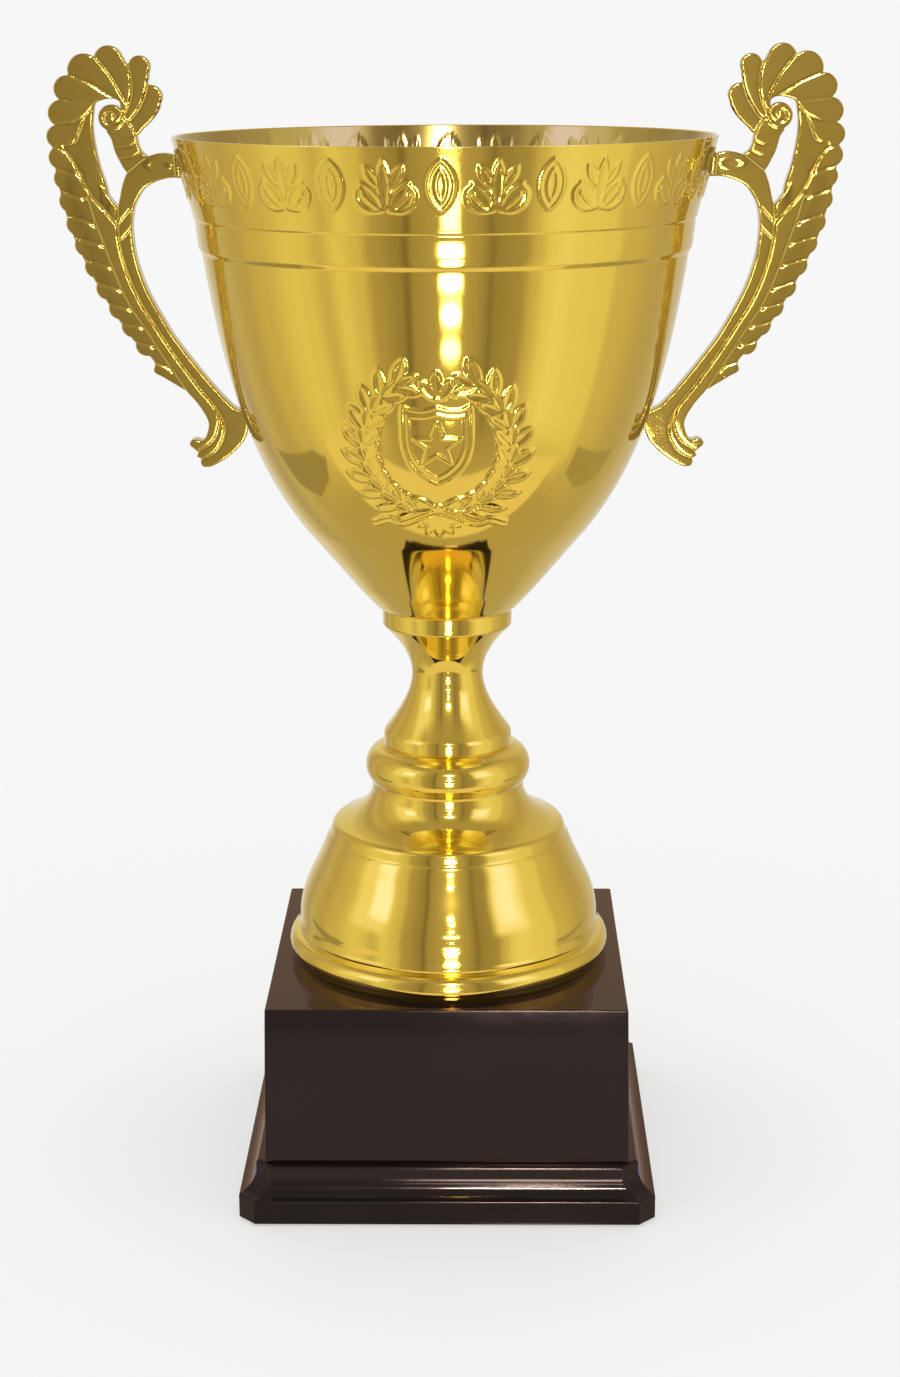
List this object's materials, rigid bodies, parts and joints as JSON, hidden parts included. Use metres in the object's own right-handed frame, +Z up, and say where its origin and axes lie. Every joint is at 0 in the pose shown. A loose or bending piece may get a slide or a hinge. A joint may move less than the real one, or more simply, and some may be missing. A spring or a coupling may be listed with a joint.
{
  "type": "cup trophy",
  "caption": "Tall two-handled presentation cup with a spun gold bowl, waisted stem and bell foot, bolted to a square dark lacquered plinth.",
  "frame": {"origin": "on the table under the middle of the plinth", "axes": "+Z up along the cup's axis, -Y towards the front of the plinth, the handles along +X and -X"},
  "size_m": [0.2922, 0.2, 0.4313],
  "materials": {
    "bowl_gold": "gold-plated, fine circular satin lines on the belly, polished rim bands",
    "polished_gold": "gold-plated, mirror polished",
    "handle_gold": "gold-plated casting, soft gloss with brighter lines in the relief",
    "lacquered_wood": "very dark brown high-gloss lacquer",
    "steel": "zinc-plated",
    "core_plastic": "plain moulded",
    "felt": "self-adhesive felt"
  },
  "bodies": {
    "root": {"bowl": "bowl_gold", "handle_right": "handle_gold", "handle_left": "handle_gold", "handle_screws": "steel", "handle_washers": "steel", "bowl_washer": "steel", "bowl_nut": "steel", "stem": "polished_gold", "stem_knop": "polished_gold", "foot": "polished_gold", "foot_core": "core_plastic", "tie_rod": "steel", "plinth_block": "lacquered_wood", "plinth_skirt": "lacquered_wood", "plinth_washer": "steel", "plinth_lock_washer": "steel", "plinth_nut": "steel", "skirt_screws": "steel", "felt_pad": "felt"}
  },
  "joints": []
}
